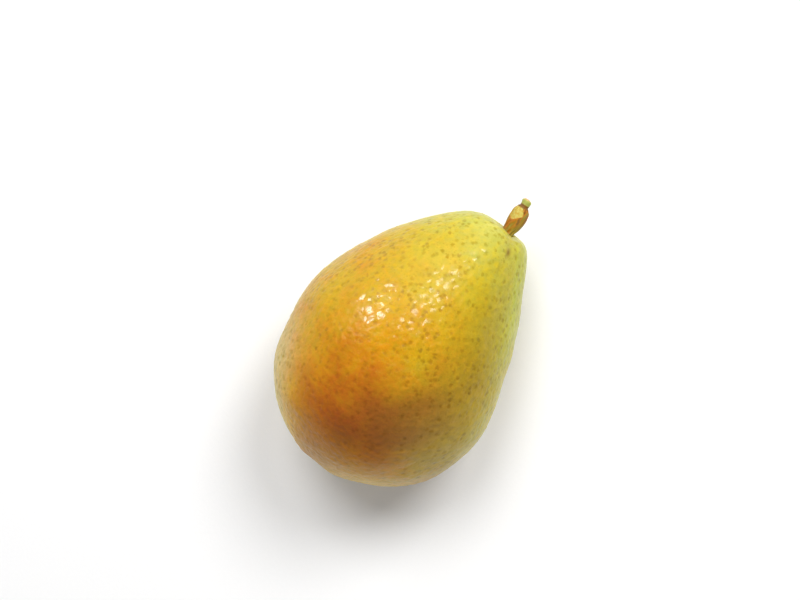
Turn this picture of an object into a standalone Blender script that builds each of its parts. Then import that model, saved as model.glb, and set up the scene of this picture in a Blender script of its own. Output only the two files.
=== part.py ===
"""A ripe pear lying on its side, with its stem and the dried sepals of its calyx.

Metres, +Z up. The pear lies with its stem end towards +X, drooping a little. It rests on a small
flat spot under its belly, wide enough to reach under its centre of mass, and the origin is the
middle of that spot.

The pieces are modelled standing up, along the pear's own axis: z = 0 is the broad end and +z
runs to the stem. An empty then lays all of them down.
"""

from math import cos, pi, radians, sin

import bmesh
import bpy
import numpy as np
from mathutils import Matrix, Vector

MM = 0.001

# Half outline of the fruit, as radius and height in millimetres, from the middle of the calyx
# basin, over the rim of the broad end, the belly and the neck, to the root of the stem.
OUTLINE = (
    (0.0, 3.0),
    (7.5, 0.2),
    (14.0, 1.2),
    (27.0, 12.0),
    (33.0, 27.5),
    (33.0, 43.0),
    (25.0, 63.5),
    (12.5, 82.7),
    (5.0, 86.3),
    (0.0, 85.6),
)
FRUIT_HEIGHT = OUTLINE[-1][1]
RINGS_PER_SPAN = 4
FRUIT_SIDES = 60

# What makes the fruit uneven, in millimetres.
LEAN = 4.6  # how far the stem end leans to one side
SWAY = 0.75  # how far the lower and upper halves bow apart
CROWN_SHIFT = 2.4  # how far the stem stands off the middle of the neck
CROWN_SHIFT_REACH = 9.0  # radius over which that shift dies out
CROWN_TILT = 0.066  # slope of the shoulders across the crown
CROWN_START = 0.6  # part of the height where that slope begins
CUP_DEPTH = 2.0  # extra depth of the calyx basin around the sepals
CUP_RADIUS = 4.5

DROOP = radians(4.0)  # the stem end hangs this far below level when the pear lies at rest
FLAT_DEPTH = 0.8 * MM  # how much of the belly the resting spot takes away
GAP = 0.3 * MM  # space kept between neighbouring pieces

# Half outline of the stem, as radius and distance from its root, in millimetres.
STEM_OUTLINE = (
    (0.0, 0.0),
    (1.6, 0.0),
    (1.8, 1.6),
    (2.3, 3.6),
    (2.6, 6.0),
    (2.4, 8.4),
    (1.7, 9.8),
    (1.3, 10.8),
    (1.35, 11.8),
    (0.8, 12.4),
    (0.0, 12.5),
)
STEM_LENGTH = STEM_OUTLINE[-1][1]
STEM_SIDES = 20
STEM_TILT = radians(11.0)  # away from the axis of the fruit, to the side it leans to
STEM_BOW = 0.4  # how far the middle of the stem bows out, in millimetres

# The sepals are little dry leaves that stand in a ring in the calyx basin.
SEPAL_COUNT = 5
SEPAL_SIDES = 8
SEPAL_STATIONS = 6
SEPAL_RING_RADIUS = 2.0 * MM
SEPAL_LENGTH = 3.4 * MM
SEPAL_WIDTH = 2.0 * MM
SEPAL_THICKNESS = 0.5 * MM
SEPAL_CURL = radians(40.0)  # the tip leans outwards by this angle


# ---------------------------------------------------------------- shapes along the axis
def smooth_outline(points, per_span):
    """Radius and height along a smooth curve through the points, per_span samples to a span.

    The outline and its mirror image make one closed loop, so the curve crosses the axis square
    on. A closed cubic B-spline runs through all the points when its control points solve a
    cyclic system with 1/6, 4/6, 1/6 in each row, which a Fourier transform does in one step.
    """
    half = np.array(points)
    loop = np.concatenate([half, half[-2:0:-1] * (-1.0, 1.0)])
    count = len(loop)
    row = (4.0 + 2.0 * np.cos(2.0 * pi * np.arange(count) / count)) / 6.0
    control = np.fft.ifft(np.fft.fft(loop, axis=0) / row[:, None], axis=0).real
    t = np.arange(per_span) / per_span
    weights = np.stack([
        (1.0 - t) ** 3,
        3.0 * t ** 3 - 6.0 * t ** 2 + 4.0,
        -3.0 * t ** 3 + 3.0 * t ** 2 + 3.0 * t + 1.0,
        t ** 3,
    ], axis=1) / 6.0
    spans = range(len(half) - 1)
    samples = [weights @ control[[k - 1, k, k + 1, (k + 2) % count]] for k in spans]
    curve = np.concatenate(samples + [half[-1:]])
    curve[0, 0] = 0.0
    return curve


def uneven(point):
    """Move a point of the evenly turned fruit to its place on the real, uneven one."""
    x, y, z = point / MM
    radius = (x * x + y * y) ** 0.5
    if z > FRUIT_HEIGHT / 2.0:
        x -= CROWN_SHIFT * np.exp(-(radius / CROWN_SHIFT_REACH) ** 2)
        crown = max(z / FRUIT_HEIGHT - CROWN_START, 0.0) / (1.0 - CROWN_START)
        z -= CROWN_TILT * crown ** 2 * x
    else:
        z += CUP_DEPTH * np.exp(-(radius / CUP_RADIUS) ** 2)
    share = z / FRUIT_HEIGHT
    x += LEAN * share ** 2 - SWAY * sin(2.0 * pi * share)
    return Vector((x, y, z)) * MM


def turned(outline, sides):
    """A closed body turned about the z axis, from an outline with both ends on the axis."""
    body = bmesh.new()
    points = [body.verts.new((radius, 0.0, height)) for radius, height in outline]
    edges = [body.edges.new(pair) for pair in zip(points, points[1:])]
    bmesh.ops.spin(
        body, geom=points + edges, cent=(0.0, 0.0, 0.0), axis=(0.0, 0.0, 1.0),
        angle=2.0 * pi, steps=sides, use_merge=True,
    )
    bmesh.ops.remove_doubles(body, verts=body.verts, dist=0.000001)
    return body


def material(name, colour, roughness):
    """A plain material with the piece's main colour."""
    finish = bpy.data.materials.new(name)
    finish.use_nodes = True
    shader = finish.node_tree.nodes["Principled BSDF"]
    shader.inputs["Base Color"].default_value = (*colour, 1.0)
    shader.inputs["Roughness"].default_value = roughness
    shader.inputs["Metallic"].default_value = 0.0
    finish.diffuse_color = (*colour, 1.0)
    return finish


def add_piece(name, body, finish, holder):
    """Turn the built shape into an object of this name, smooth shaded, on the holder."""
    bmesh.ops.recalc_face_normals(body, faces=body.faces)
    mesh = bpy.data.meshes.new(name)
    body.to_mesh(mesh)
    body.free()
    mesh.materials.append(finish)
    mesh.shade_smooth()
    mesh.set_sharp_from_angle(angle=radians(40.0))
    piece = bpy.data.objects.new(name, mesh)
    bpy.context.collection.objects.link(piece)
    piece.parent = holder
    return piece


# ---------------------------------------------------------------- how the pear lies
def lying_place():
    """Rotation and location that bring the upright pear to rest with its flat spot at z = 0.

    The fruit's own x goes to world Y, its +y to the top and its axis to +X, drooping. The floor
    touches where the drooping outline reaches furthest down.
    """
    rotation = Matrix((
        (0.0, sin(DROOP), cos(DROOP)),
        (1.0, 0.0, 0.0),
        (0.0, cos(DROOP), -sin(DROOP)),
    ))
    curve = smooth_outline(OUTLINE, 10 * RINGS_PER_SPAN) * MM
    reach_down = curve[:, 0] * cos(DROOP) + curve[:, 1] * sin(DROOP)
    radius, height = curve[reach_down.argmax()]
    touch = uneven(Vector((0.0, -radius, height)))
    location = -(rotation @ touch) - Vector((0.0, 0.0, FLAT_DEPTH))
    return rotation, location


def make_holder(rotation, location):
    """The empty that lays the pear down."""
    holder = bpy.data.objects.new("laid_down", None)
    bpy.context.collection.objects.link(holder)
    holder.rotation_euler = rotation.to_euler()
    holder.location = location
    return holder


# ---------------------------------------------------------------- the pieces
def make_fruit(rotation, location, holder):
    """The fruit: a turned, then unevenly grown body, with the resting spot cut flat."""
    body = turned(smooth_outline(OUTLINE, RINGS_PER_SPAN) * MM, FRUIT_SIDES)
    for vertex in body.verts:
        vertex.co = uneven(vertex.co)
    to_own = rotation.transposed()
    cut = bmesh.ops.bisect_plane(
        body, geom=body.verts[:] + body.edges[:] + body.faces[:], dist=0.000001,
        plane_co=to_own @ -location, plane_no=to_own @ Vector((0.0, 0.0, -1.0)),
        clear_outer=True,
    )
    rim = [item for item in cut["geom_cut"] if isinstance(item, bmesh.types.BMEdge)]
    bmesh.ops.edgeloop_fill(body, edges=rim)
    return add_piece("fruit", body, material("pear_skin", (0.68, 0.36, 0.04), 0.4), holder)


def make_stem(holder):
    """The woody stem: narrow at its root, thickest past its middle, with a small knob."""
    body = turned(np.array(STEM_OUTLINE) * MM, STEM_SIDES)
    root = uneven(Vector((0.0, 0.0, FRUIT_HEIGHT * MM)))
    tilt = Matrix.Rotation(STEM_TILT, 3, "Y")
    for vertex in body.verts:
        along = vertex.co.z / MM / STEM_LENGTH
        vertex.co.x -= STEM_BOW * MM * sin(pi * along)
        vertex.co = root + tilt @ (vertex.co + Vector((0.0, 0.0, GAP)))
    return add_piece("stem", body, material("stem_wood", (0.36, 0.2, 0.05), 0.75), holder)


def make_sepal(index, finish, holder):
    """One dried sepal: a flat pointed leaf, curled outwards as an arc and set in its ring."""
    share = np.arange(SEPAL_STATIONS + 1) / SEPAL_STATIONS
    half_width = SEPAL_WIDTH / 2.0 * np.sin(pi * share ** 0.7)
    half_width[-1] = 0.0
    body = turned(np.column_stack([half_width, share * SEPAL_LENGTH]), SEPAL_SIDES)
    around = Matrix.Rotation(2.0 * pi * (index + 0.5) / SEPAL_COUNT, 3, "Z")
    floor = uneven(Vector((SEPAL_RING_RADIUS, 0.0, OUTLINE[0][1] * MM))).z
    middle_shift = uneven(Vector((0.0, 0.0, OUTLINE[0][1] * MM))).x
    arc_radius = SEPAL_LENGTH / SEPAL_CURL
    for vertex in body.verts:
        turn = SEPAL_CURL * vertex.co.z / SEPAL_LENGTH
        depth = vertex.co.x * SEPAL_THICKNESS / SEPAL_WIDTH
        outwards = SEPAL_RING_RADIUS + arc_radius - (arc_radius - depth) * cos(turn)
        downwards = (arc_radius - depth) * sin(turn)
        place = Vector((outwards, vertex.co.y, floor - 2.0 * GAP - downwards))
        vertex.co = around @ place + Vector((middle_shift, 0.0, 0.0))
    return add_piece(f"sepal_{index + 1}", body, finish, holder)


def main():
    for old in list(bpy.data.objects):
        bpy.data.objects.remove(old)
    rotation, location = lying_place()
    holder = make_holder(rotation, location)
    make_fruit(rotation, location, holder)
    make_stem(holder)
    dry = material("dry_sepal", (0.09, 0.05, 0.025), 0.85)
    for index in range(SEPAL_COUNT):
        make_sepal(index, dry, holder)


main()
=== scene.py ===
# %% [markdown]
# # A ripe pear on a white table
# A pear is one grown body with a woody stem and, at its broad end, the dry sepals of the flower
# it grew from. The exact solids of those pieces come from the frame. This lesson gives each of
# them the fine surface and the finish of the real thing, and lights it softly from above.

# %% The fixed frame
from math import cos, pi, radians, sin

import bpy
import numpy as np
from mathutils import Matrix, Vector


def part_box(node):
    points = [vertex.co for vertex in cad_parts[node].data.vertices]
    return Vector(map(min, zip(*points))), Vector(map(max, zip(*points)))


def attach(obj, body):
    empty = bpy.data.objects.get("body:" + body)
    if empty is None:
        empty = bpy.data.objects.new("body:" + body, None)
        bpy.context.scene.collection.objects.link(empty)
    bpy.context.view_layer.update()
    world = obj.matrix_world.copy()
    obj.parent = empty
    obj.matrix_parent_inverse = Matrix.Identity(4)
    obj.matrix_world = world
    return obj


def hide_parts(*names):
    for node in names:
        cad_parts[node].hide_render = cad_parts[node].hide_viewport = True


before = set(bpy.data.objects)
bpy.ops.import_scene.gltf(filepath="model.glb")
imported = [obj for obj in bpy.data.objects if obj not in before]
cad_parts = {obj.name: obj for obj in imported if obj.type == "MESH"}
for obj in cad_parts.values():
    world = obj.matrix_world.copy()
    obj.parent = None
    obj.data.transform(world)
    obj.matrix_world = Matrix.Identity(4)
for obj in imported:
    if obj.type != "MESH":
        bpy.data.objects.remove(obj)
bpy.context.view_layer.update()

fruit_low, fruit_high = (np.array(corner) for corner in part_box("fruit"))
MM = 0.001
print("nodes:", sorted(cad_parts))
print("fruit, mm:", np.round((fruit_high - fruit_low) / MM, 1))

# %% [markdown]
# ## The outline of the fruit
# Half of a pear's side view is enough to turn its body. It is given by ten places that matter:
# calyx basin, rim, belly, neck, shoulder and stem root. A smooth curve through them could be a
# Bezier with hand-set handles. A closed B-spline needs no handles: the outline and its mirror
# image make one loop, so both ends cross the axis square on and leave no point there.

# %% Outline values
# Radius and height along the pear's own axis, in millimetres, broad end first.
OUTLINE = np.array([
    (0.0, 3.0), (7.5, 0.2), (14.0, 1.2), (27.0, 12.0), (33.0, 27.5),
    (33.0, 43.0), (25.0, 63.5), (12.5, 82.7), (5.0, 86.3), (0.0, 85.6),
])
HEIGHT = OUTLINE[-1, 1]


# %% A smooth curve through the outline
def smooth_outline(points, per_span):
    """Closed cubic B-spline through the outline and its mirror image; returns the half.

    Its control points solve a cyclic system with 1/6, 4/6, 1/6 in each row, which a Fourier
    transform does in one step. A span is then the four blending cubics times four of them.
    """
    loop = np.concatenate([points, points[-2:0:-1] * (-1.0, 1.0)])
    count = len(loop)
    row = (4.0 + 2.0 * np.cos(2.0 * pi * np.arange(count) / count)) / 6.0
    control = np.fft.ifft(np.fft.fft(loop, axis=0) / row[:, None], axis=0).real
    t = np.arange(per_span)[:, None] / per_span
    blend = np.hstack([
        (1.0 - t) ** 3,
        3.0 * t ** 3 - 6.0 * t ** 2 + 4.0,
        -3.0 * t ** 3 + 3.0 * t ** 2 + 3.0 * t + 1.0,
        t ** 3,
    ]) / 6.0
    first = np.arange(len(points) - 1)[:, None]
    fours = control[(first + (-1, 0, 1, 2)) % count]
    return np.concatenate([(blend @ fours).reshape(-1, 2), points[-1:]])


def even_steps(curve, rows):
    """The same curve read at equal distances along it, so that all faces are alike in size."""
    along = np.r_[0.0, np.cumsum(np.hypot(*np.diff(curve, axis=0).T))]
    steps = np.linspace(0.0, along[-1], rows)
    return np.stack([np.interp(steps, along, column) for column in curve.T], axis=1)


fine_outline = smooth_outline(OUTLINE, 60)
print("widest, mm:", round(2.0 * fine_outline[:, 0].max(), 1))

# %% [markdown]
# ## From the turned body to the grown one
# No pear is evenly turned. This one leans to one side at the neck, bows a little the other way
# in the middle, carries its stem off centre and has one shoulder higher than the other. Each of
# these is a shift that depends on the place along the axis, so it is added as a formula.

# %% Values of the uneven growth, in millimetres
LEAN = 4.6
SWAY = 0.75
CROWN_SHIFT = 2.4
CROWN_SHIFT_REACH = 9.0
CROWN_TILT = 0.066
CROWN_START = 0.6
CUP_DEPTH = 2.0
CUP_RADIUS = 4.5


# %% The uneven growth
def uneven(x, y, z):
    """Shift the points of the turned body.

    Upper half: the crown slides sideways with a bell curve of its radius and tilts with the
    square of the height above CROWN_START. Lower half: the basin deepens by a bell curve. The
    axis then leans with the square of the height and sways with one sine wave.
    """
    radius = np.hypot(x, y)
    upper = z > HEIGHT / 2.0
    x = x - upper * CROWN_SHIFT * np.exp(-(radius / CROWN_SHIFT_REACH) ** 2)
    crown = np.clip(z / HEIGHT - CROWN_START, 0.0, None) / (1.0 - CROWN_START)
    z = z - upper * CROWN_TILT * crown ** 2 * x
    z = z + ~upper * CUP_DEPTH * np.exp(-(radius / CUP_RADIUS) ** 2)
    share = z / HEIGHT
    x = x + LEAN * share ** 2 - SWAY * np.sin(2.0 * pi * share)
    return x, y, z


def turned_grid(curve, columns):
    """Points of a turned body: rows along the curve, columns round the axis."""
    angle = 2.0 * pi * np.arange(columns) / columns
    radius = curve[:, :1]
    height = np.broadcast_to(curve[:, 1:], (len(curve), columns))
    return radius * np.cos(angle), radius * np.sin(angle), height, angle


# %% [markdown]
# ## Laying the pear down
# The solids lie with the axis along +X and the stem end drooping a little. The fine surface is
# made upright, so it is turned the same way and then moved until its box meets the solid's box.

# %% The way down to the table
DROOP = radians(4.0)
LAY_DOWN = np.array([
    (0.0, sin(DROOP), cos(DROOP)),
    (1.0, 0.0, 0.0),
    (0.0, cos(DROOP), -sin(DROOP)),
])
bare = np.stack(uneven(*turned_grid(fine_outline, 180)[:3]), axis=-1) @ LAY_DOWN.T * MM
shift = (fruit_low + fruit_high - bare.min((0, 1)) - bare.max((0, 1))) / 2.0
shift[2] = fruit_high[2] - bare[..., 2].max()
print("shift to the frame, mm:", np.round(shift / MM, 2))


def lay(points):
    """Own upright millimetres to metres on the table."""
    return points @ LAY_DOWN.T * MM + shift


# %% [markdown]
# ## Meshes from whole arrays
# A body like this is one grid of points, closed to a point at each end. Blender's Spin could turn
# it from the outline alone, but here each point also carries numbers for the finish, and those
# come on the same grid. So whole arrays make the faces: quads between the rings and a fan of
# triangles at each pole.

# %% The mesh helper
def closed_mesh(name, points, marks=None):
    """A closed mesh from a grid of points whose first and last rows are single points.

    Quads join row r, r + 1 and column c, c + 1, the last column joins the first, and fans
    close the poles. marks are named arrays on the same grid, stored as point attributes.
    """
    rows, columns = points.shape[:2]
    flat = np.concatenate([points[0, :1], points[1:-1].reshape(-1, 3), points[-1, :1]])
    ring = np.arange(columns)
    after = np.roll(ring, -1)
    start = 1 + columns * np.arange(rows - 3)[:, None]
    quads = np.stack([
        start + ring, start + after, start + columns + after, start + columns + ring,
    ], axis=-1).reshape(-1, 4)
    last = len(flat) - 1
    top = last - columns
    fans = np.concatenate([
        np.stack([np.zeros_like(ring), 1 + after, 1 + ring], axis=-1),
        np.stack([np.full_like(ring, last), top + ring, top + after], axis=-1),
    ])
    mesh = bpy.data.meshes.new(name)
    mesh.from_pydata(flat.tolist(), [], quads.tolist() + fans.tolist())
    for mark, values in (marks or {}).items():
        values = np.broadcast_to(values, (rows, columns))
        column = np.concatenate([values[0, :1], values[1:-1].ravel(), values[-1, :1]])
        mesh.attributes.new(mark, "FLOAT", "POINT").data.foreach_set("value", column)
    mesh.shade_smooth()
    mesh.validate()
    piece = bpy.data.objects.new(name, mesh)
    bpy.context.collection.objects.link(piece)
    print(name, "triangles:", 2 * len(quads) + len(fans))
    return piece


# %% [markdown]
# ## The surface of the fruit
# Under an even light a pear shows three sizes of unevenness: broad swellings as wide as a thumb,
# shallow dents between them, and a fine peel like that of an orange. Sculpting would do it by
# hand. Here each size is a sum of sine waves that run in all directions, which looks random,
# has no seams and comes out the same each time. The crown also has a swelling round the stem
# and a crease that runs down between its two shoulders, and the rim of the calyx has five ribs.

# %% Values of the surface, in millimetres
SWELLING = 0.22
SWELLING_SIZE = 30.0
DENT = 0.07
DENT_SIZE = 11.0
PEEL = 0.030
PEEL_SIZE = 2.2
COLLAR = 0.35
COLLAR_RADIUS = 3.2
COLLAR_WIDTH = 1.0
CREASE = 1.0
CREASE_ANGLE = radians(118.0)
CREASE_WIDTH = 2.4
CREASE_RADIUS = 7.0
CREASE_LENGTH = 6.5
CALYX_RIB = 0.3
CALYX_RIB_RADIUS = 9.0
SEPALS = 5


# %% Bell curves, noise and outward directions
def bell(distance, width):
    """1 at distance 0, falling off as exp(-(distance / width) squared)."""
    return np.exp(-(distance / width) ** 2)


def ease(value, low, high):
    """0 below low, 1 above high, and a smooth rise between them."""
    share = np.clip((value - low) / (high - low), 0.0, 1.0)
    return share * share * (3.0 - 2.0 * share)


def waves(points, size, count, seed):
    """Even noise without a grid: plane sine waves of one length, summed over all directions."""
    rng = np.random.default_rng(seed)
    way = rng.normal(size=(count, 3))
    way *= 2.0 * pi / size / np.linalg.norm(way, axis=1, keepdims=True)
    phase = rng.uniform(0.0, 2.0 * pi, count)
    total = sum(np.sin(points @ way[k] + phase[k]) for k in range(count))
    return total / np.sqrt(count / 2.0)


def outward(points):
    """Unit normals of a grid: the cross product of the steps round it and along it."""
    along = np.gradient(points, axis=0)
    around = np.roll(points, -1, axis=1) - np.roll(points, 1, axis=1)
    normal = np.cross(around, along)
    normal /= np.maximum(np.linalg.norm(normal, axis=-1, keepdims=True), 1e-9)
    normal[0] = normal[1].mean(0)
    normal[-1] = normal[-2].mean(0)
    return normal


# %% The fruit's grid and its relief
ROWS = 228
COLUMNS = 420
turned_x, turned_y, turned_z, angle = turned_grid(even_steps(fine_outline, ROWS), COLUMNS)
radius = np.hypot(turned_x, turned_y)
crown = turned_z > HEIGHT / 2.0
own = np.stack(uneven(turned_x, turned_y, turned_z), axis=-1)

relief = SWELLING * waves(own, SWELLING_SIZE, 12, seed=1)
relief += DENT * waves(own, DENT_SIZE, 16, seed=2)
relief += PEEL * waves(own, PEEL_SIZE, 40, seed=3)
relief *= np.clip(radius / COLLAR_RADIUS, 0.0, 1.0)
relief += crown * COLLAR * bell(radius - COLLAR_RADIUS, COLLAR_WIDTH)
beside_crease = radius * np.sin(angle - CREASE_ANGLE)
on_crease = crown * (np.cos(angle - CREASE_ANGLE) > 0.0) * bell(beside_crease, CREASE_WIDTH)
relief -= CREASE * on_crease * bell(radius - CREASE_RADIUS, CREASE_LENGTH)
ribs = np.cos(SEPALS * angle) * bell(radius - CALYX_RIB_RADIUS, CALYX_RIB_RADIUS / 2.0)
relief += ~crown * CALYX_RIB * ribs
skin_surface = lay(own + outward(own) * relief[..., None])
skin_surface[..., 2] = np.maximum(skin_surface[..., 2], 0.0)
print("relief, mm:", round(relief.min(), 2), "to", round(relief.max(), 2))

# %% [markdown]
# ## Where the colours lie
# A pear ripens from green yellow through gold to amber, and reddens where the sun reached it.
# That could be painted on. Here each area is a number at every point of the mesh, worked out
# from the height along the axis and the angle round it, so the finish can mix its colours by it.
# The ripeness falls towards the neck, peaks in a blush on the sunny side of the broad end, and
# drops off steeply on the green flank beside it and on the side that lay in the shade.

# %% Ripeness
# Heights are in millimetres from the broad end. Angles run round the axis, from the side that
# the neck leans to.
NECK_RIPENESS = 0.03
BELLY_RIPENESS = 0.45
RIPE_FROM = 86.0
RIPE_TO = 52.0
BLUSH = 0.55
BLUSH_HEIGHT = 14.0
BLUSH_LENGTH = 24.0
BLUSH_ANGLE = radians(88.0)
BLUSH_WIDTH = radians(40.0)
GREEN_FLANK = 0.30
GREEN_FLANK_FROM = radians(112.0)
GREEN_FLANK_TO = radians(142.0)
GREEN_FLANK_LOW = 15.0
GREEN_FLANK_HIGH = 40.0
SHADE_SIDE = 0.22
BLOTCH = 0.03
BLOTCH_SIZE = 22.0
MOTTLE = 0.025
MOTTLE_SIZE = 9.0


def turn_between(one, other):
    """Shortest angle between two headings, from minus half a turn to half a turn."""
    return (one - other + pi) % (2.0 * pi) - pi


ripe = NECK_RIPENESS + BELLY_RIPENESS * ease(-turned_z, -RIPE_FROM, -RIPE_TO)
blush_side = bell(turn_between(angle, BLUSH_ANGLE), BLUSH_WIDTH)
ripe += BLUSH * bell(turned_z - BLUSH_HEIGHT, BLUSH_LENGTH) * blush_side
flank = ease(angle, GREEN_FLANK_FROM, GREEN_FLANK_TO) * ease(-angle, -2.0 * pi, -1.5 * pi)
ripe -= GREEN_FLANK * flank * ease(turned_z, GREEN_FLANK_LOW, GREEN_FLANK_HIGH)
ripe -= SHADE_SIDE * ease(-np.sin(angle), 0.0, 1.0) * ease(np.cos(angle), -0.5, 0.5)
ripe += BLOTCH * waves(own, BLOTCH_SIZE, 12, seed=5) + MOTTLE * waves(own, MOTTLE_SIZE, 16, seed=6)
ripe = np.clip(ripe, 0.0, 1.1)
print("ripeness:", round(ripe.min(), 2), "to", round(ripe.max(), 2))

# %% [markdown]
# ## Brown area with painted shade, olive and lime areas
# Beside the blush the skin is a dull brown, deepened in part by painted shade, in an area that
# slants round the fruit as it climbs.
# The flank after it is olive. Towards the neck the flank turns lime green, with one bright streak
# beside the crease. They could be more steps in the row of ripeness colours, but they differ from
# the skin around them in hue, not in ripeness, so each is a number of its own: a bell curve in
# angle, times a bell curve in height or a smooth step between two heights, its rise.

# %% Brown with painted shade, olive and lime
BROWN_AND_SHADE_GAIN = 1.2
BROWN_AND_SHADE_ANGLE = radians(108.0)
BROWN_AND_SHADE_SLOPE = radians(0.7)
BROWN_AND_SHADE_WIDTH = radians(20.0)
BROWN_AND_SHADE_HEIGHT = 26.0
BROWN_AND_SHADE_LENGTH = 19.0
BROWN_AND_SHADE_BLOTCH = 0.12
BROWN_AND_SHADE_BLOTCH_SIZE = 12.0
# Part of this darkening is the skin's own dull brown and part is painted shade.
brown_and_shade_angle = BROWN_AND_SHADE_ANGLE + BROWN_AND_SHADE_SLOPE * (turned_z - BROWN_AND_SHADE_HEIGHT)
brown_and_shade = bell(turn_between(angle, brown_and_shade_angle), BROWN_AND_SHADE_WIDTH) * bell(turned_z - BROWN_AND_SHADE_HEIGHT, BROWN_AND_SHADE_LENGTH)
brown_and_shade_blotches = 1.0 + BROWN_AND_SHADE_BLOTCH * waves(own, BROWN_AND_SHADE_BLOTCH_SIZE, 12, seed=7)
brown_and_shade = np.clip(brown_and_shade * BROWN_AND_SHADE_GAIN * brown_and_shade_blotches, 0.0, 1.0)

OLIVE_ANGLE = radians(133.0)
OLIVE_WIDTH = radians(27.0)
OLIVE_RISE = (12.0, 28.0)
OLIVE_FADE = 0.6
OLIVE_FADE_RISE = (60.0, 85.0)
olive = bell(turn_between(angle, OLIVE_ANGLE), OLIVE_WIDTH) * ease(turned_z, *OLIVE_RISE)
olive = olive * (1.0 - OLIVE_FADE * ease(turned_z, *OLIVE_FADE_RISE))

LIME_ANGLE = radians(158.0)
LIME_WIDTH = radians(18.0)
LIME_RISE = (48.0, 68.0)
STREAK = 0.5
STREAK_ANGLE = radians(132.0)
STREAK_SLOPE = radians(1.67)
STREAK_WIDTH = radians(4.0)
STREAK_RISE = (62.0, 76.0)
lime = bell(turn_between(angle, LIME_ANGLE), LIME_WIDTH) * ease(turned_z, *LIME_RISE)
streak_angle = STREAK_ANGLE + STREAK_SLOPE * (HEIGHT - turned_z)
streak = bell(turn_between(angle, streak_angle), STREAK_WIDTH) * ease(turned_z, *STREAK_RISE)
lime += STREAK * streak
areas = {"brown_and_shade": brown_and_shade, "olive": olive, "lime": lime}
for name, area in areas.items():
    print(name, "covers, part of the grid:", round(float((area > 0.5).mean()), 3))

# %% [markdown]
# ## Painted light, painted sheen and small marks
# The broad end is made paler than the rest, except under the blush: this is painted light, as if
# the white table lit it from below. Pale patches of painted sheen stand for reflections on the wax
# in three places: on the shaded rim, on the flank and round the neck. A brown blemish sits at the
# foot of the crease. Rough russet rings the stem and the calyx, and the hollow of the calyx is full
# of dry brown crumbs. Patches cut out by hand would have hard edges. All of these fade out, so they
# are made of bell curves and smooth steps too.

# %% Painted light, painted sheen and small marks
PAINTED_TABLE_LIGHT_FROM = 20.0
PAINTED_TABLE_LIGHT_TO = 3.0
PAINTED_TABLE_LIGHT_BLUSH = 0.65
# Painted light: the broad end is made paler, as if lit from below by the white table, less so under
# the blush.
painted_table_light = ease(-turned_z, -PAINTED_TABLE_LIGHT_FROM, -PAINTED_TABLE_LIGHT_TO) * (1.0 - PAINTED_TABLE_LIGHT_BLUSH * blush_side)

PAINTED_SHEEN_ANGLE = radians(29.0)
PAINTED_SHEEN_WIDTH = radians(17.0)
PAINTED_SHEEN_HEIGHT = 14.0
PAINTED_SHEEN_LENGTH = 13.0
NECK_PAINTED_SHEEN = 0.17
NECK_PAINTED_SHEEN_ANGLE = radians(74.0)
NECK_PAINTED_SHEEN_WIDTH = radians(22.0)
NECK_PAINTED_SHEEN_RISE = (45.0, 72.0)
FLANK_PAINTED_SHEEN = 0.19
FLANK_PAINTED_SHEEN_ANGLE = radians(134.0)
FLANK_PAINTED_SHEEN_WIDTH = radians(18.0)
FLANK_PAINTED_SHEEN_HEIGHT = 26.0
FLANK_PAINTED_SHEEN_LENGTH = 14.0
# Painted sheen: pale patches that stand in for reflections on the wax, on one rim, round the neck
# and on the flank.
painted_sheen = bell(turn_between(angle, PAINTED_SHEEN_ANGLE), PAINTED_SHEEN_WIDTH)
painted_sheen = painted_sheen * bell(turned_z - PAINTED_SHEEN_HEIGHT, PAINTED_SHEEN_LENGTH)
neck_painted_sheen = bell(turn_between(angle, NECK_PAINTED_SHEEN_ANGLE), NECK_PAINTED_SHEEN_WIDTH)
painted_sheen = painted_sheen + NECK_PAINTED_SHEEN * neck_painted_sheen * ease(turned_z, *NECK_PAINTED_SHEEN_RISE)
flank_painted_sheen = bell(turn_between(angle, FLANK_PAINTED_SHEEN_ANGLE), FLANK_PAINTED_SHEEN_WIDTH)
painted_sheen += FLANK_PAINTED_SHEEN * flank_painted_sheen * bell(turned_z - FLANK_PAINTED_SHEEN_HEIGHT, FLANK_PAINTED_SHEEN_LENGTH)

BLEMISH_RADIUS = 12.3
BLEMISH_SIZE = 1.0
STEM_RUSSET_RADIUS = 4.0
CALYX_RUSSET = 0.6
CALYX_RUSSET_RADIUS = 8.0
HOLLOW_RADIUS = 2.4
HOLLOW_EDGE = 0.8
blemish = on_crease * bell(radius - BLEMISH_RADIUS, BLEMISH_SIZE)
blemish = blemish * bell(beside_crease, BLEMISH_SIZE)
russet = bell(radius, STEM_RUSSET_RADIUS)
russet = russet + ~crown * CALYX_RUSSET * bell(radius, CALYX_RUSSET_RADIUS)
hollow = ~crown * ease(-radius, -HOLLOW_RADIUS - HOLLOW_EDGE, -HOLLOW_RADIUS + HOLLOW_EDGE)

# %% The fruit
marks = {"ripe": ripe, **areas, "painted_table_light": painted_table_light, "painted_sheen": painted_sheen}
marks.update({"blemish": blemish, "russet": russet, "hollow": hollow})
fruit = closed_mesh("pear_fruit", skin_surface, marks)
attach(fruit, "root")
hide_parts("fruit")

# %% [markdown]
# ## Finishes made of nodes
# A finish is a small network: patterns in, one surface shader out. These few helpers add a node,
# set or link its inputs and give its output back, so that a finish reads from top to bottom like
# a recipe. All patterns use Object coordinates in metres, so a scale of 1000 is one per mm.

# %% Node helpers
def linear(red, green, blue):
    """A colour given as the 0 to 255 values of a screen, in the linear light of the shader."""
    share = np.array((red, green, blue)) / 255.0
    light = np.where(share < 0.04045, share / 12.92, ((share + 0.055) / 1.055) ** 2.4)
    return (*light.tolist(), 1.0)


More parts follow.
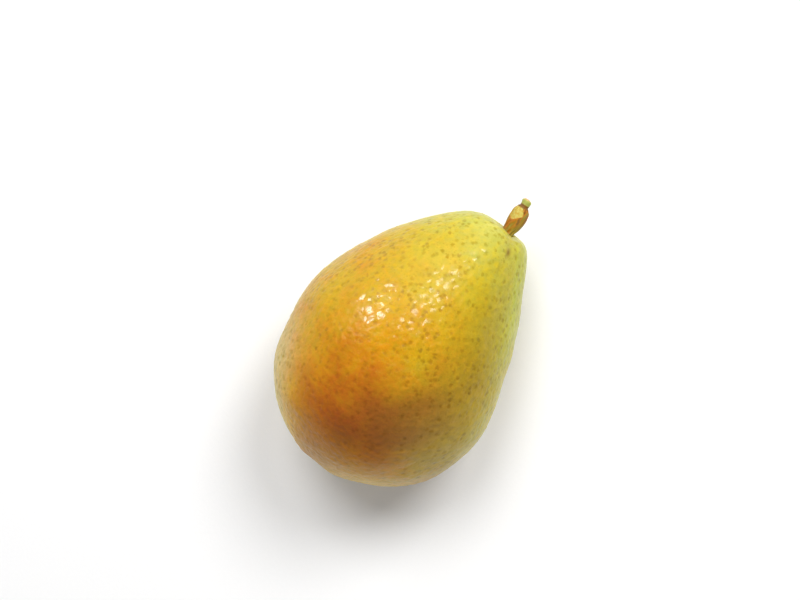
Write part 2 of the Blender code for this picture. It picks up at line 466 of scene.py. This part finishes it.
class Recipe:
    """The node network of one finish, with short calls for the nodes it needs."""

    def __init__(self, name):
        self.material = bpy.data.materials.new(name)
        self.material.use_nodes = True
        self.tree = self.material.node_tree
        self.shader = self.tree.nodes["Principled BSDF"]
        self.place = self.add("ShaderNodeTexCoord").outputs["Object"]

    def put(self, socket, value):
        """Link an output to the socket, or store a plain value on it."""
        if isinstance(value, bpy.types.NodeSocket):
            self.tree.links.new(value, socket)
        else:
            socket.default_value = value

    def add(self, kind, inputs=None, **settings):
        """One node with its settings and inputs."""
        node = self.tree.nodes.new(kind)
        for key, value in settings.items():
            setattr(node, key, value)
        for key, value in (inputs or {}).items():
            self.put(node.inputs[key], value)
        return node

    def mark(self, name):
        """A named number stored at the points of the mesh."""
        return self.add("ShaderNodeAttribute", attribute_name=name).outputs["Fac"]

    def noise(self, scale, detail=2.0, roughness=0.5):
        """Soft noise around 0.5, with about one lump per 1 / scale metres."""
        inputs = {"Vector": self.place, "Scale": scale, "Detail": detail, "Roughness": roughness}
        return self.add("ShaderNodeTexNoise", inputs).outputs["Fac"]

    def cells(self, scale):
        """Distance to the nearest of many scattered points, in steps of 1 / scale metres."""
        inputs = {"Vector": self.place, "Scale": scale}
        return self.add("ShaderNodeTexVoronoi", inputs).outputs["Distance"]

    def math(self, kind, first, second=0.0):
        """Two numbers combined by one operation of arithmetic."""
        return self.add("ShaderNodeMath", {0: first, 1: second}, operation=kind).outputs[0]

    def span(self, value, low, high, start=0.0, end=1.0):
        """value taken smoothly from low..high to start..end, and held outside of it."""
        inputs = {"Value": value, "From Min": low, "From Max": high, "To Min": start, "To Max": end}
        return self.add("ShaderNodeMapRange", inputs, interpolation_type="SMOOTHSTEP").outputs[0]

    def mix(self, share, under, over, how="MIX"):
        """Two colours blended by share."""
        node = self.add("ShaderNodeMix", data_type="RGBA", blend_type=how)
        self.put(node.inputs[0], share)
        self.put(node.inputs[6], under)
        self.put(node.inputs[7], over)
        return node.outputs[2]

    def ramp(self, value, stops):
        """A colour read from a row of (position, colour) stops."""
        node = self.add("ShaderNodeValToRGB", {"Fac": value})
        steps = node.color_ramp.elements
        for place, _ in stops[1:-1]:
            steps.new(place)
        for step, (place, colour) in zip(steps, stops):
            step.position = place
            step.color = colour
        return node.outputs["Color"]

    def bump(self, height, depth, under=None):
        """A relief of the given depth in metres, on top of another one."""
        inputs = {"Height": height, "Distance": depth, "Strength": 1.0}
        if under is not None:
            inputs["Normal"] = under
        return self.add("ShaderNodeBump", inputs).outputs["Normal"]

    def finish(self, colour, normal, values):
        """Link the colour and the relief and set the shader's other sockets."""
        self.put(self.shader.inputs["Base Color"], colour)
        self.put(self.shader.inputs["Normal"], normal)
        for key, value in values.items():
            self.put(self.shader.inputs[key], value)
        print(self.material.name, "nodes:", len(self.tree.nodes))
        return self.material


# %% [markdown]
# ## The skin
# Pear skin is a thin waxy layer over pale flesh. Its ground colour comes from the ripeness of
# each place, read from a row of colours, and the other areas are mixed over it. Small brown corky
# dots, the lenticels, are spread all over it: a cell pattern in space, cut by the surface, gives
# dots of all sizes up to a limit, as the real ones have. Light enters the flesh a little way, so
# the shader has some subsurface. The wax is a clear coat with a relief of its own. Smooth noise
# would give long curved glints, so it is a cell pattern instead: the square of the distance to
# each cell's middle makes low round domes, and each dome shows a lamp as one round glint.

# %% Colours and scales of the skin
RIPE_COLOURS = [
    (0.00, linear(185, 180, 64)),
    (0.22, linear(191, 168, 26)),
    (0.48, linear(194, 152, 3)),
    (0.68, linear(195, 131, 2)),
    (0.84, linear(178, 103, 4)),
    (1.00, linear(161, 79, 10)),
]
# How strongly each area colours the skin, and with what, in the order they are mixed.
AREA_COLOURS = [
    ("olive", 0.75, linear(154, 126, 20)),
    ("lime", 0.6, linear(178, 182, 50)),
    # Partly the skin's dull brown, partly painted shade.
    ("brown_and_shade", 0.72, linear(112, 62, 24)),
    # Painted light from the white table on the broad end.
    ("painted_table_light", 0.72, linear(242, 196, 48)),
    # Painted sheen, pale reflections laid into the colour.
    ("painted_sheen", 0.66, linear(216, 196, 132)),
]
GRAIN_SCALE = 450.0
PATCH_SCALE = 130.0
GRAIN_DARK = (0.69, 0.69, 0.69, 1.0)
GRAIN_LIGHT = (1.31, 1.31, 1.31, 1.0)
LENTICEL_TINT = (0.66, 0.58, 0.05, 1.0)
LENTICEL_SCALE = 500.0
SPECK_SCALE = 950.0
LENTICEL_RISE = 0.05 * MM
RUSSET = linear(130, 92, 30)
BLEMISH = linear(128, 100, 10)
CRUMB_DARK = linear(44, 30, 18)
CRUMB_LIGHT = linear(104, 76, 44)
CRUMB_SCALE = 1800.0
FLESH_SCALE = 700.0
FLESH_DEPTH = 0.3 * MM
DOME_SCALE = 360.0
DOME_DEPTH = 0.26 * MM


# %% The skin's finish
def skin_finish():
    """Ripeness and area colours, lenticels, russet, and wax with a relief of low round domes."""
    skin = Recipe("pear_skin")
    grain = skin.noise(GRAIN_SCALE, 3.0, 0.6)
    patch = skin.noise(PATCH_SCALE, 3.0, 0.6)
    grain_shift = skin.span(grain, 0.3, 0.7, -0.06, 0.06)
    patch_shift = skin.span(patch, 0.3, 0.7, -0.045, 0.045)
    ripe = skin.math("ADD", skin.mark("ripe"), skin.math("ADD", grain_shift, patch_shift))
    colour = skin.ramp(ripe, RIPE_COLOURS)
    for name, share, tint in AREA_COLOURS:
        colour = skin.mix(skin.math("MULTIPLY", skin.mark(name), share), colour, tint)
    grain_shade = skin.mix(grain, GRAIN_DARK, GRAIN_LIGHT)
    colour = skin.mix(1.0, colour, grain_shade, "MULTIPLY")

    large = skin.cells(LENTICEL_SCALE)
    frayed = skin.math("ADD", large, skin.span(skin.noise(1500.0), 0.25, 0.75, -0.10, 0.10))
    small = skin.cells(SPECK_SCALE)
    dots = skin.span(frayed, 0.10, 0.46, 1.0, 0.0)
    specks = skin.span(small, 0.10, 0.34, 0.4, 0.0)
    shown = skin.span(skin.noise(90.0), 0.3, 0.7, 0.5, 0.9)
    dots = skin.math("MULTIPLY", skin.math("MAXIMUM", dots, specks), shown)
    dots = skin.math("MULTIPLY", dots, skin.span(ripe, 0.4, 0.8, 1.0, 0.62))
    colour = skin.mix(dots, colour, LENTICEL_TINT, "MULTIPLY")

    russet = skin.math("MULTIPLY", skin.mark("russet"), skin.span(patch, 0.35, 0.6, 0.1, 0.5))
    colour = skin.mix(russet, colour, RUSSET)
    crumbs = skin.mix(skin.noise(CRUMB_SCALE), CRUMB_DARK, CRUMB_LIGHT)
    colour = skin.mix(skin.mark("hollow"), colour, crumbs)
    colour = skin.mix(skin.mark("blemish"), colour, BLEMISH)

    relief = skin.bump(skin.noise(FLESH_SCALE), FLESH_DEPTH)
    relief = skin.bump(skin.span(large, 0.0, 0.6), LENTICEL_RISE, relief)
    from_middle = skin.cells(DOME_SCALE)
    domes = skin.math("SUBTRACT", 1.0, skin.math("MULTIPLY", from_middle, from_middle))
    return skin.finish(colour, relief, {
        "Roughness": 0.45,
        "Specular IOR Level": 0.12,
        "Coat Weight": 0.35,
        "Coat IOR": 1.38,
        "Coat Roughness": 0.19,
        "Coat Normal": skin.bump(domes, DOME_DEPTH),
        "Sheen Weight": 0.17,
        "Sheen Roughness": 0.3,
        "Sheen Tint": (0.9, 1.0, 0.45, 1.0),
        "Subsurface Weight": 0.12,
        "Subsurface Scale": 0.0025,
        "Subsurface Radius": (1.0, 0.55, 0.2),
    })


fruit.data.materials.append(skin_finish())

# %% [markdown]
# ## The stem
# The stem is a short woody peg: narrow at its root, thickest past its middle, then a pinched
# ring of brown bark and a pale green knob where it broke from the twig. It is one more turned
# grid, bent and tilted like the solid. Lengthwise ridges, bark grain and two pinched rings are
# added to its radius, and on one side a flat where a flake of bark has come off.

# %% Values of the stem, in millimetres
STEM_OUTLINE = np.array([
    (0.0, 0.0), (1.6, 0.0), (1.8, 1.6), (2.3, 3.6), (2.6, 6.0), (2.4, 8.4),
    (1.7, 9.8), (1.3, 10.8), (1.35, 11.8), (0.8, 12.4), (0.0, 12.5),
])
STEM_LENGTH = STEM_OUTLINE[-1, 1]
STEM_TILT = radians(11.0)
STEM_BOW = 0.4
STEM_SINK = 0.5
STEM_RIDGES = 9
STEM_RIDGE = 0.07
RIDGE_TWIST = 0.5
RIDGE_WANDER = 0.8
RIDGE_WANDER_SIZE = 5.0
BARK = 0.05
BARK_SIZE = 0.9
BARK_SQUEEZE = (1.0, 1.0, 0.3)
RING_HEIGHT = 10.2
RING_DEPTH = 0.16
RING_WIDTH = 0.25
LOW_RING_DROP = 0.9
LOW_RING_DEPTH = 0.08
LOW_RING_WIDTH = 0.2
FLAKE_HEIGHT = 7.7
FLAKE_LENGTH = 2.5
FLAKE_ANGLE = radians(57.0)
FLAKE_WIDTH = 2.1
FLAKE_DEPTH = 0.25
FLAKE_FRAY = 0.12
FLAKE_FRAY_SIZE = 2.2
FLAKE_EDGE = 0.06
GREEN_SIDE_ANGLE = radians(150.0)
GREEN_SIDE_WIDTH = radians(44.0)

# %% The stem's surface
stem_curve = even_steps(smooth_outline(STEM_OUTLINE, 30), 110)
stem_x, stem_y, stem_z, stem_angle = turned_grid(stem_curve, 120)
stem_radius = np.hypot(stem_x, stem_y)
stem_own = np.stack([stem_x, stem_y, stem_z], axis=-1)
stem_share = stem_z / STEM_LENGTH

ridge_turn = STEM_RIDGES * (stem_angle + RIDGE_TWIST * stem_share)
ridge_turn = ridge_turn + RIDGE_WANDER * waves(stem_own, RIDGE_WANDER_SIZE, 10, seed=11)
stem_relief = STEM_RIDGE * np.cos(ridge_turn) * ease(-stem_z, -RING_HEIGHT, -RING_HEIGHT + 2.0)
stem_relief += BARK * waves(stem_own * BARK_SQUEEZE, BARK_SIZE, 24, seed=12)
low_ring = LOW_RING_DEPTH * bell(stem_z - RING_HEIGHT + LOW_RING_DROP, LOW_RING_WIDTH)
stem_relief -= RING_DEPTH * bell(stem_z - RING_HEIGHT, RING_WIDTH) + low_ring
beside_flake = stem_radius * turn_between(stem_angle, FLAKE_ANGLE)
flake_reach = np.hypot(beside_flake / FLAKE_WIDTH, (stem_z - FLAKE_HEIGHT) / FLAKE_LENGTH)
flake_reach += FLAKE_FRAY * waves(stem_own, FLAKE_FRAY_SIZE, 12, seed=13)
flake = ease(-flake_reach, -1.0 - FLAKE_EDGE, -1.0 + FLAKE_EDGE)
stem_relief = stem_relief * (1.0 - flake) - FLAKE_DEPTH * flake
stem_relief *= np.clip(stem_radius / 0.8, 0.0, 1.0)
stem_surface = stem_own + outward(stem_own) * stem_relief[..., None]
stem_surface[..., 0] -= STEM_BOW * np.sin(pi * stem_share)
tilt = np.array([
    (cos(STEM_TILT), 0.0, sin(STEM_TILT)),
    (0.0, 1.0, 0.0),
    (-sin(STEM_TILT), 0.0, cos(STEM_TILT)),
])
stem_root = np.concatenate(uneven(np.zeros(1), np.zeros(1), np.full(1, HEIGHT)))
stem_surface = lay((stem_surface - (0.0, 0.0, STEM_SINK)) @ tilt.T + stem_root)
green_side = bell(turn_between(stem_angle, GREEN_SIDE_ANGLE), GREEN_SIDE_WIDTH)
green_side = green_side * ease(-stem_z, -9.0, -3.0)
stem_marks = {"flake": flake, "green_side": green_side, "stem_height": stem_z}
stem = closed_mesh("pear_stem", stem_surface, stem_marks)
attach(stem, "root")
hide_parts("stem")

# %% [markdown]
# ## The stem's finish
# Bark runs in stripes along the stem, from orange brown to olive. A wave texture would space them
# too evenly, so they are a noise that is read in a space squeezed along the axis, which draws it
# out. One side is greener than the rest. The flake and the height pick the bare wood, the ring
# and the knob.

# %% Bark, bare wood and knob
RING_FROM = 9.4
KNOB_FROM = 10.5
GREEN_SHARE = 0.85
STRIPE_SQUEEZE = (250.0, 1000.0, 1000.0)


def stem_finish():
    """Striped bark, a pale flake of bare wood, a brown ring and a green knob."""
    wood = Recipe("stem_wood")
    height = wood.mark("stem_height")
    inputs = {"Vector": wood.place, "Scale": STRIPE_SQUEEZE}
    along = wood.add("ShaderNodeMapping", inputs)
    inputs = {"Vector": along.outputs[0], "Scale": 0.75, "Detail": 3.0}
    stripes = wood.add("ShaderNodeTexNoise", inputs).outputs["Fac"]
    spots = wood.noise(1500.0, 2.0)
    bark = wood.ramp(stripes, [
        (0.36, linear(118, 72, 8)),
        (0.46, linear(178, 108, 8)),
        (0.55, linear(150, 110, 10)),
        (0.66, linear(146, 128, 46)),
    ])
    green_share = wood.math("MULTIPLY", wood.mark("green_side"), GREEN_SHARE)
    bark = wood.mix(green_share, bark, linear(148, 136, 50))
    bare = wood.mix(wood.span(spots, 0.35, 0.65), linear(186, 152, 46), linear(194, 180, 84))
    colour = wood.mix(wood.mark("flake"), bark, bare)
    ring = wood.span(height, RING_FROM, RING_FROM + 0.5)
    colour = wood.mix(ring, colour, wood.mix(spots, linear(100, 62, 8), linear(140, 92, 16)))
    knob = wood.span(height, KNOB_FROM, KNOB_FROM + 0.4)
    tip = wood.span(height, STEM_LENGTH - 0.5, STEM_LENGTH - 0.15)
    green = wood.mix(spots, linear(150, 158, 60), linear(174, 172, 88))
    green = wood.mix(tip, green, linear(204, 168, 112))
    colour = wood.mix(knob, colour, green)
    relief = wood.bump(stripes, 0.0002)
    relief = wood.bump(spots, 0.00008, relief)
    return wood.finish(colour, relief, {"Roughness": 0.62, "Specular IOR Level": 0.3})


stem.data.materials.append(stem_finish())

# %% [markdown]
# ## The dried flower
# At the broad end the flower left five small dry leaves, the sepals, in a ring round a hollow,
# with a tuft of withered threads inside. A flat strip with a thickness would have blunt rims, so
# a leaf is a closed grid too: its rows run from base to tip, its columns go round a thin lens.
# The leaf is bent to an arc, its edges are crimped, and its base is sunk a little way into the
# flesh that it grew from. A thread is a thin bent tube with closed ends.

# %% Values of the dried flower, in millimetres
SEPAL_RING = 2.0
SEPAL_LENGTH = 3.4
SEPAL_WIDTH = 2.0
SEPAL_THICKNESS = 0.42
SEPAL_CURL = radians(40.0)
SEPAL_ROOT = 0.3
CRIMP = 0.12
THREADS = 16
THREAD_RING = 1.1
THREAD_LENGTH = 2.2
THREAD_RADIUS = 0.11
THREAD_ROOT = 0.3
basin_x, _, basin_z = uneven(np.array([0.0, SEPAL_RING]), np.zeros(2), np.full(2, OUTLINE[0, 1]))
basin_middle = basin_x[0]
print("calyx basin, mm:", round(basin_middle, 2), "off the axis, floor at", round(basin_z[1], 2))

# %% Five sepals
dry = Recipe("dry_sepal")


def leaf_grid(seed):
    """One leaf lying upright at the origin, as (outward, sideways, downward) millimetres.

    Share s runs from base to tip and t round the lens. The half width is the sine of pi times
    s to the power 0.7, and the leaf follows an arc of SEPAL_CURL that bends its tip outward.
    """
    s = np.linspace(0.0, 1.0, 36)[:, None]
    t = 2.0 * pi * np.arange(32) / 32
    half = SEPAL_WIDTH / 2.0 * np.sin(pi * np.clip(s, 0.0, 0.999) ** 0.7)
    sideways = half * np.cos(t)
    depth = SEPAL_THICKNESS / SEPAL_WIDTH * half * np.sin(t) * (1.0 + 0.5 * bell(np.cos(t), 0.2))
    flat = np.stack(np.broadcast_arrays(sideways, depth, s * SEPAL_LENGTH), axis=-1)
    depth = depth + CRIMP * np.cos(t) ** 2 * waves(flat, 1.6, 12, seed) * np.sin(pi * s)
    arc = SEPAL_LENGTH / SEPAL_CURL
    turn = SEPAL_CURL * s
    outward_way = arc - (arc - depth) * np.cos(turn)
    downward = (arc - depth) * np.sin(turn)
    return np.stack(np.broadcast_arrays(outward_way, sideways, downward), axis=-1)


for index in range(SEPALS):
    leaf = leaf_grid(seed=20 + index)
    heading = 2.0 * pi * (index + 0.5) / SEPALS
    far = SEPAL_RING + leaf[..., 0]
    leaf_x = basin_middle + far * cos(heading) - leaf[..., 1] * sin(heading)
    leaf_y = far * sin(heading) + leaf[..., 1] * cos(heading)
    leaf_z = basin_z[1] + SEPAL_ROOT - leaf[..., 2]
    leaf_surface = lay(np.stack([leaf_x, leaf_y, leaf_z], axis=-1))
    sepal = closed_mesh(f"pear_sepal_{index + 1}", leaf_surface)
    sepal.data.materials.append(dry.material)
    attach(sepal, "root")
    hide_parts(f"sepal_{index + 1}")

# %% A tuft of withered threads
thread_s = np.linspace(0.0, 1.0, 12)[:, None]
thread_t = 2.0 * pi * np.arange(8) / 8
for index in range(THREADS):
    rng = np.random.default_rng(40 + index)
    heading = 2.0 * pi * index / THREADS + rng.uniform(-0.3, 0.3)
    ring = THREAD_RING * rng.uniform(0.5, 1.0)
    bend = rng.uniform(-0.5, 0.7)
    width = THREAD_RADIUS * np.sqrt(np.clip(1.0 - thread_s ** 6, 0.0, 1.0)) * (thread_s > 0.0)
    middle_x = basin_middle + (ring + bend * thread_s ** 2) * cos(heading)
    middle_y = (ring + bend * thread_s ** 2) * sin(heading)
    down = basin_z[0] + THREAD_ROOT - THREAD_LENGTH * rng.uniform(0.7, 1.0) * thread_s
    thread_x = middle_x + width * np.cos(thread_t)
    thread_y = middle_y - width * np.sin(thread_t)
    grid = np.stack(np.broadcast_arrays(thread_x, thread_y, down), axis=-1)
    thread = closed_mesh(f"pear_thread_{index + 1}", lay(grid))
    thread.data.materials.append(dry.material)
    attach(thread, "root")

# %% The dry finish
veins = dry.noise(1400.0, 3.0, 0.6)
blotch = dry.noise(500.0, 2.0)
dry_colour = dry.ramp(veins, [
    (0.35, linear(46, 30, 18)),
    (0.52, linear(92, 62, 36)),
    (0.68, linear(146, 108, 66)),
])
dry_colour = dry.mix(dry.span(blotch, 0.45, 0.7, 0.0, 0.6), dry_colour, linear(60, 42, 28))
dry.finish(dry_colour, dry.bump(veins, 0.0002), {"Roughness": 0.85, "Specular IOR Level": 0.2})

# %% [markdown]
# ## The camera
# The camera looks down steeply from the stem end, and is rolled so that the stem points up and to
# the right. Its place is given by the distance, the height angle and the angle of the stem in
# the picture, so each can be changed by itself, and a small offset frames the pear.

# %% Camera
CAMERA_DISTANCE = 0.400
CAMERA_ELEVATION = radians(78.0)
STEM_ANGLE = radians(47.0)
LENS = 60.9
AXIS_MIDDLE = lay(np.array((0.0, 0.0, 45.0)))
FRAMING_RIGHT = -4.9 * MM
FRAMING_UP = 11.9 * MM
back = np.array((cos(CAMERA_ELEVATION), 0.0, sin(CAMERA_ELEVATION)))
stem_way = np.array((sin(CAMERA_ELEVATION), 0.0, -cos(CAMERA_ELEVATION)))
side_way = np.array((0.0, 1.0, 0.0))
view_right = stem_way * cos(STEM_ANGLE) - side_way * sin(STEM_ANGLE)
view_up = stem_way * sin(STEM_ANGLE) + side_way * cos(STEM_ANGLE)
aim = AXIS_MIDDLE + view_right * FRAMING_RIGHT + view_up * FRAMING_UP
camera_data = bpy.data.cameras.new("camera")
camera_data.lens = LENS
camera = bpy.data.objects.new("camera", camera_data)
bpy.context.collection.objects.link(camera)


def facing(eye, toward_back, up):
    """Matrix of a camera or a lamp at eye, with its back and up directions."""
    back_way = Vector(toward_back).normalized()
    right_way = Vector(up).cross(back_way).normalized()
    up_way = back_way.cross(right_way)
    turn = Matrix((right_way, up_way, back_way)).transposed()
    return Matrix.Translation(Vector(eye)) @ turn.to_4x4()


camera.matrix_world = facing(aim + back * CAMERA_DISTANCE, back, view_up)
bpy.context.scene.camera = camera
print("camera height, mm:", round(camera.matrix_world.translation.z / MM))

# %% [markdown]
# ## The table
# The pear lies on a plain white sheet. A studio sheet often curves up at the back, but this one is
# seen from above, so one flat face will do, large enough to have no edge in the picture. A faint
# fibre in its colour and relief keeps it from looking like empty background.

# %% White table
TABLE = 3.0
corners = [(-TABLE, -TABLE, 0.0), (TABLE, -TABLE, 0.0), (TABLE, TABLE, 0.0), (-TABLE, TABLE, 0.0)]
table_mesh = bpy.data.meshes.new("table")
table_mesh.from_pydata(corners, [], [(0, 1, 2, 3)])
table = bpy.data.objects.new("table", table_mesh)
bpy.context.collection.objects.link(table)
white = Recipe("white_table")
fibres = white.noise(900.0, 3.0)
paper = white.mix(fibres, (0.9, 0.9, 0.9, 1.0), (0.92, 0.92, 0.92, 1.0))
table_mesh.materials.append(white.finish(paper, white.bump(fibres, 0.00003), {"Roughness": 0.7}))

# %% [markdown]
# ## Light
# Two soft lamps above the pear, behind it to the left and to the right, give it its form and cast
# the two shadows that cross on the table. A dim white room fills those shadows. A lamp that is
# large enough for soft shadows would lie on the wax as a broad white patch, so each is split in
# two: the form lamp has no reflection, and a small gloss lamp near it has nothing but one.

# %% Room and lamps
ROOM_LIGHT = 0.35
LAMP_DISTANCE = 1.6
GLOSS_LAMP_SIZE = 0.34
# Name, angle off the camera's axis, heading in the picture, then size and strength.
FORM_LAMPS = [
    ("form_lamp_left", radians(26.7), radians(108.7), 0.59, 1.75),
    ("form_lamp_right", radians(32.2), radians(56.2), 0.55, 1.95),
]
GLOSS_LAMPS = [
    ("gloss_lamp_left", radians(54.0), radians(126.0), GLOSS_LAMP_SIZE, 3.4),
    ("gloss_lamp_right", radians(37.0), radians(55.0), GLOSS_LAMP_SIZE, 1.9),
]
world = bpy.data.worlds.new("white_room")
bpy.context.scene.world = world
world.use_nodes = True
world.node_tree.nodes["Background"].inputs["Color"].default_value = (1.0, 1.0, 1.0, 1.0)
world.node_tree.nodes["Background"].inputs["Strength"].default_value = ROOM_LIGHT
bpy.context.scene.view_settings.view_transform = "Standard"


def lamp(name, off_axis, heading, size, strength):
    """A round lamp aimed at the pear, placed off the camera's axis towards a heading."""
    sideways = view_right * cos(heading) + view_up * sin(heading)
    way = back * cos(off_axis) + sideways * sin(off_axis)
    data = bpy.data.lights.new(name, "AREA")
    data.shape = "DISK"
    data.size = size
    data.energy = strength * pi * LAMP_DISTANCE ** 2
    piece = bpy.data.objects.new(name, data)
    bpy.context.collection.objects.link(piece)
    piece.matrix_world = facing(AXIS_MIDDLE + way * LAMP_DISTANCE, way, view_up)
    print(name, "height over the table, mm:", round(piece.matrix_world.translation.z / MM))
    return piece


for values in FORM_LAMPS:
    lamp(*values).visible_glossy = False
for values in GLOSS_LAMPS:
    lamp(*values).visible_diffuse = False
